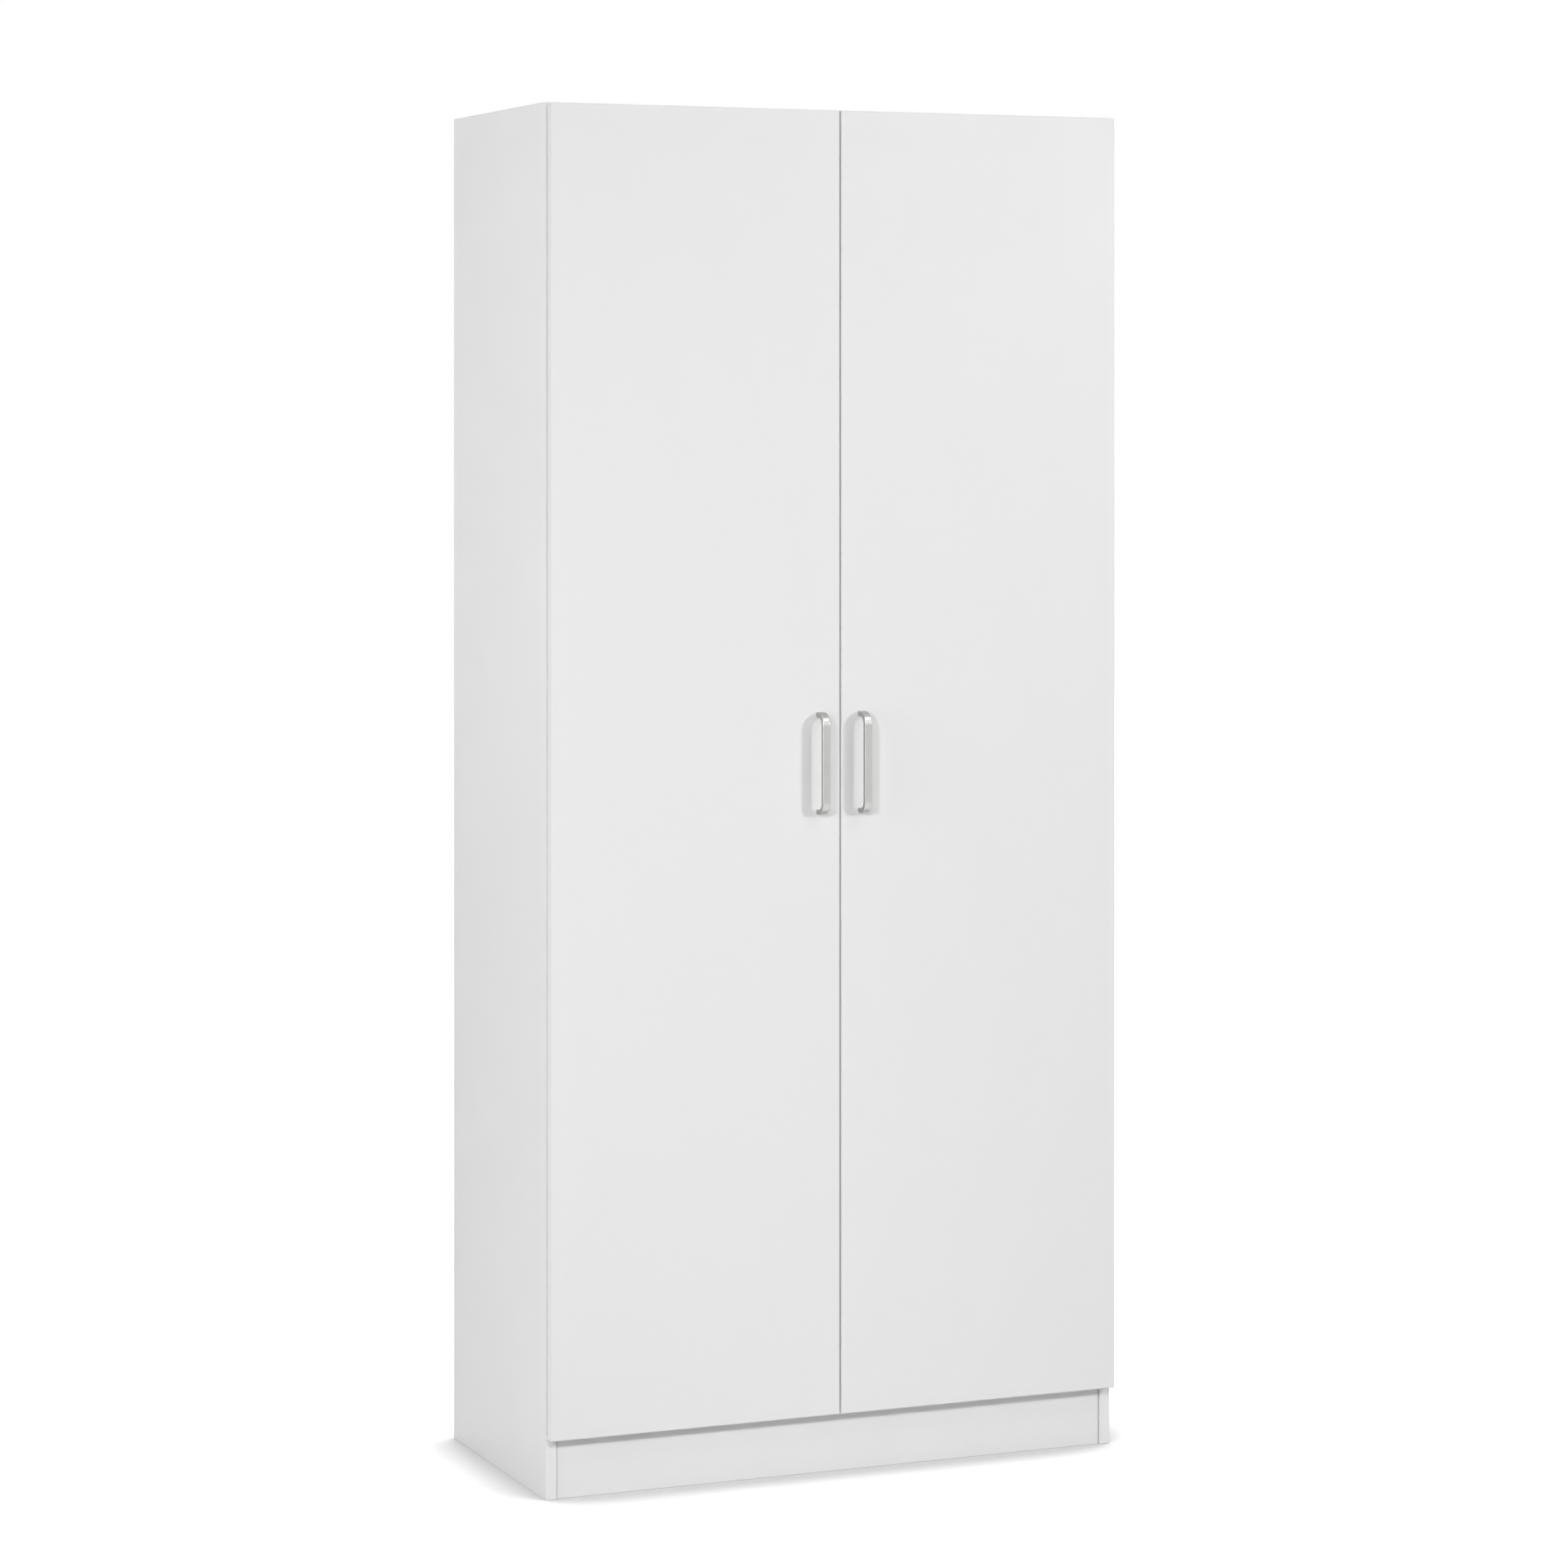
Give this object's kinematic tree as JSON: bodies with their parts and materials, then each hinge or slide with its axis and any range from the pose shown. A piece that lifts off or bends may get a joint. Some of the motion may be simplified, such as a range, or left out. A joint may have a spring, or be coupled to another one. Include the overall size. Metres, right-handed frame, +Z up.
{
  "type": "pantry cabinet",
  "caption": "Tall pantry cabinet with flat full-overlay doors on cup hinges, bow handles, a kick board, and fixed and adjustable shelves behind the doors.",
  "frame": {"origin": "bottom centre of the closed cabinet's bounding box, handles included, on the floor plane", "axes": "+Z up, +X to the right seen from the front, +Y towards the back, so the doors face -Y"},
  "size_m": [0.813, 0.418, 1.803],
  "materials": {
    "white_melamine": "satin white melamine on particleboard",
    "hardboard": "thin hardboard, smooth face",
    "brushed_nickel": "brushed nickel plate",
    "nickel_plated_steel": "bright nickel plate on pressed steel",
    "zinc_plated_steel": "zinc plate",
    "bright_steel": "plain steel wire",
    "zinc": "die-cast zinc",
    "beech": "plain beech",
    "white_plastic": "moulded white plastic",
    "clear_rubber": "soft clear pad"
  },
  "bodies": {
    "carcass": {"adjustable_shelf_1": "white_melamine", "adjustable_shelf_2": "white_melamine", "adjustable_shelf_3": "white_melamine", "adjustable_shelf_4": "white_melamine", "back_nails": "bright_steel", "back_panel_lower": "hardboard", "back_panel_upper": "hardboard", "bottom_panel": "white_melamine", "bracket_screws": "zinc_plated_steel", "cam_bolts": "zinc_plated_steel", "cams": "zinc", "dowels": "beech", "fixed_shelf": "white_melamine", "kick_block_screws": "zinc_plated_steel", "kick_blocks": "white_plastic", "kick_board": "white_melamine", "left_arm_rivets": "nickel_plated_steel", "left_arm_screws": "nickel_plated_steel", "left_hinge_arms": "nickel_plated_steel", "left_mounting_plates": "nickel_plated_steel", "left_plate_screws": "nickel_plated_steel", "left_side_panel": "white_melamine", "right_arm_rivets": "nickel_plated_steel", "right_arm_screws": "nickel_plated_steel", "right_hinge_arms": "nickel_plated_steel", "right_mounting_plates": "nickel_plated_steel", "right_plate_screws": "nickel_plated_steel", "right_side_panel": "white_melamine", "shelf_pins": "zinc_plated_steel", "top_panel": "white_melamine", "wall_brackets": "zinc_plated_steel"},
    "left_door": {"left_door_panel": "white_melamine", "left_handle": "brushed_nickel", "left_handle_screws": "nickel_plated_steel", "left_hinge_cups": "nickel_plated_steel", "left_cup_screws": "nickel_plated_steel", "left_cup_pins": "nickel_plated_steel", "left_bumpers": "clear_rubber"},
    "left_outer_links": {"left_outer_links": "nickel_plated_steel"},
    "left_inner_links": {"left_inner_links": "nickel_plated_steel"},
    "right_door": {"right_door_panel": "white_melamine", "right_handle": "brushed_nickel", "right_handle_screws": "nickel_plated_steel", "right_hinge_cups": "nickel_plated_steel", "right_cup_screws": "nickel_plated_steel", "right_cup_pins": "nickel_plated_steel", "right_bumpers": "clear_rubber"},
    "right_outer_links": {"right_outer_links": "nickel_plated_steel"},
    "right_inner_links": {"right_inner_links": "nickel_plated_steel"}
  },
  "joints": [
    {"name": "left_door_hinge", "type": "hinge", "parent": "carcass", "child": "left_door", "pos_m": [-0.3975, -0.181, 0.94025], "axis": [0, 0, -1], "range_deg": [0, 105]},
    {"name": "left_outer_link_pivot", "type": "hinge", "parent": "left_door", "child": "left_outer_links", "pos_m": [-0.3931, -0.172, 0.94025], "axis": [0, 0, 1], "range_deg": [0, 164.6]},
    {"name": "left_inner_link_pivot", "type": "hinge", "parent": "left_door", "child": "left_inner_links", "pos_m": [-0.3955, -0.173, 0.94025], "axis": [0, 0, 1], "range_deg": [0, 143.13]},
    {"name": "right_door_hinge", "type": "hinge", "parent": "carcass", "child": "right_door", "pos_m": [0.3975, -0.181, 0.94025], "axis": [0, 0, 1], "range_deg": [0, 105]},
    {"name": "right_outer_link_pivot", "type": "hinge", "parent": "right_door", "child": "right_outer_links", "pos_m": [0.3931, -0.172, 0.94025], "axis": [0, 0, -1], "range_deg": [0, 164.6]},
    {"name": "right_inner_link_pivot", "type": "hinge", "parent": "right_door", "child": "right_inner_links", "pos_m": [0.3955, -0.173, 0.94025], "axis": [0, 0, -1], "range_deg": [0, 143.13]}
  ],
  "couplings": [
    {"joint": "left_outer_link_pivot", "follows": "left_door_hinge", "ratio": 1.5667},
    {"joint": "left_inner_link_pivot", "follows": "left_door_hinge", "ratio": 1.3622},
    {"joint": "right_outer_link_pivot", "follows": "right_door_hinge", "ratio": 1.5667},
    {"joint": "right_inner_link_pivot", "follows": "right_door_hinge", "ratio": 1.3622}
  ]
}
